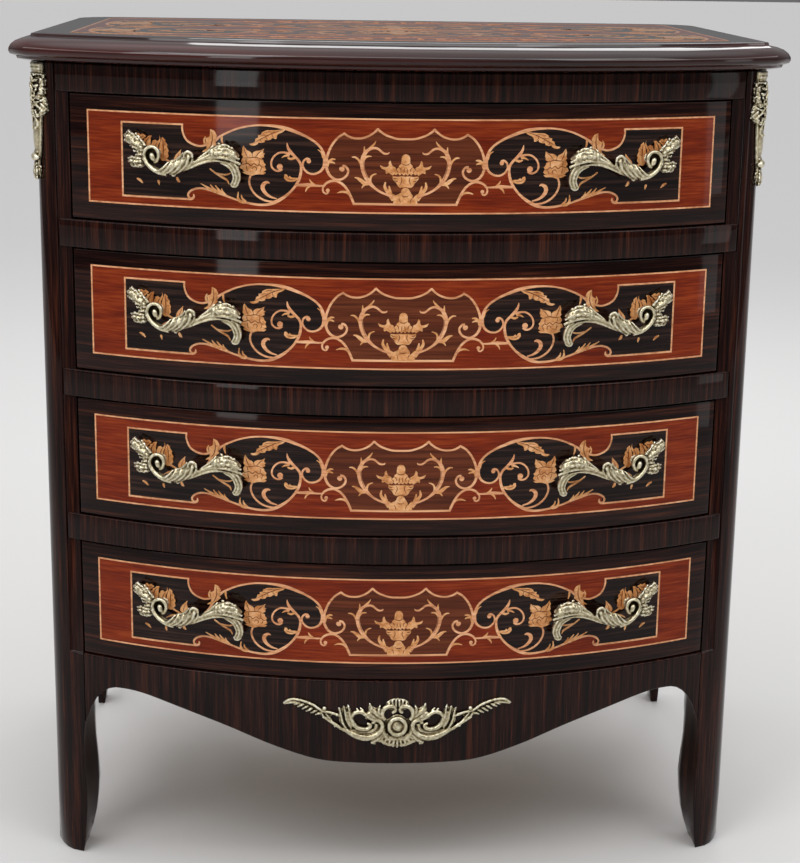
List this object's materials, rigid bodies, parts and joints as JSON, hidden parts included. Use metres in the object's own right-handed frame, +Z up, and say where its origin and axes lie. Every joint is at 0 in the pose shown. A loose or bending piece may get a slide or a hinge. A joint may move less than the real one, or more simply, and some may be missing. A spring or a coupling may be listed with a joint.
{
  "type": "chest of drawers",
  "caption": "Tall bow-fronted commode chest with marquetry drawer fronts, cast scroll handles, shaped apron, splayed legs and brass mounts.",
  "frame": {"origin": "on the floor under the middle of the chest's outline", "axes": "+Z up, +X across the front towards the right-hand side as seen from the front, +Y from the front to the back"},
  "size_m": [0.872, 0.631, 0.98],
  "materials": {
    "dark_wood": "high gloss lacquer over dark striped veneer",
    "red_wood": "high gloss lacquer over red-brown veneer with inlays",
    "pale_wood": "plain sawn and planed",
    "brass": "pale cast brass, lightly polished"
  },
  "bodies": {
    "carcase": {"top": "dark_wood", "drawer_rail_1": "dark_wood", "drawer_rail_2": "dark_wood", "drawer_rail_3": "dark_wood", "frieze_rail": "dark_wood", "apron": "dark_wood", "front_right_post": "dark_wood", "front_left_post": "dark_wood", "back_right_post": "dark_wood", "back_left_post": "dark_wood", "right_side": "dark_wood", "left_side": "dark_wood", "back_panel": "pale_wood", "back_top_rail": "pale_wood", "back_bottom_rail": "pale_wood", "bottom_board": "pale_wood", "runner_right_1": "pale_wood", "runner_left_1": "pale_wood", "runner_right_2": "pale_wood", "runner_left_2": "pale_wood", "runner_right_3": "pale_wood", "runner_left_3": "pale_wood", "runner_right_4": "pale_wood", "runner_left_4": "pale_wood", "apron_mount": "brass", "corner_mount_right": "brass", "corner_mount_left": "brass"},
    "drawer_1": {"drawer_1_front": "red_wood", "drawer_1_side_right": "pale_wood", "drawer_1_side_left": "pale_wood", "drawer_1_back": "pale_wood", "drawer_1_bottom": "pale_wood", "drawer_1_handle_left": "brass", "drawer_1_handle_right": "brass"},
    "drawer_2": {"drawer_2_front": "red_wood", "drawer_2_side_right": "pale_wood", "drawer_2_side_left": "pale_wood", "drawer_2_back": "pale_wood", "drawer_2_bottom": "pale_wood", "drawer_2_handle_left": "brass", "drawer_2_handle_right": "brass"},
    "drawer_3": {"drawer_3_front": "red_wood", "drawer_3_side_right": "pale_wood", "drawer_3_side_left": "pale_wood", "drawer_3_back": "pale_wood", "drawer_3_bottom": "pale_wood", "drawer_3_handle_left": "brass", "drawer_3_handle_right": "brass"},
    "drawer_4": {"drawer_4_front": "red_wood", "drawer_4_side_right": "pale_wood", "drawer_4_side_left": "pale_wood", "drawer_4_back": "pale_wood", "drawer_4_bottom": "pale_wood", "drawer_4_handle_left": "brass", "drawer_4_handle_right": "brass"}
  },
  "joints": [
    {"name": "drawer_1_slide", "type": "slide", "parent": "carcase", "child": "drawer_1", "axis": [0, -1, 0], "range_m": [0, 0.3]},
    {"name": "drawer_2_slide", "type": "slide", "parent": "carcase", "child": "drawer_2", "axis": [0, -1, 0], "range_m": [0, 0.3]},
    {"name": "drawer_3_slide", "type": "slide", "parent": "carcase", "child": "drawer_3", "axis": [0, -1, 0], "range_m": [0, 0.3]},
    {"name": "drawer_4_slide", "type": "slide", "parent": "carcase", "child": "drawer_4", "axis": [0, -1, 0], "range_m": [0, 0.3]}
  ]
}
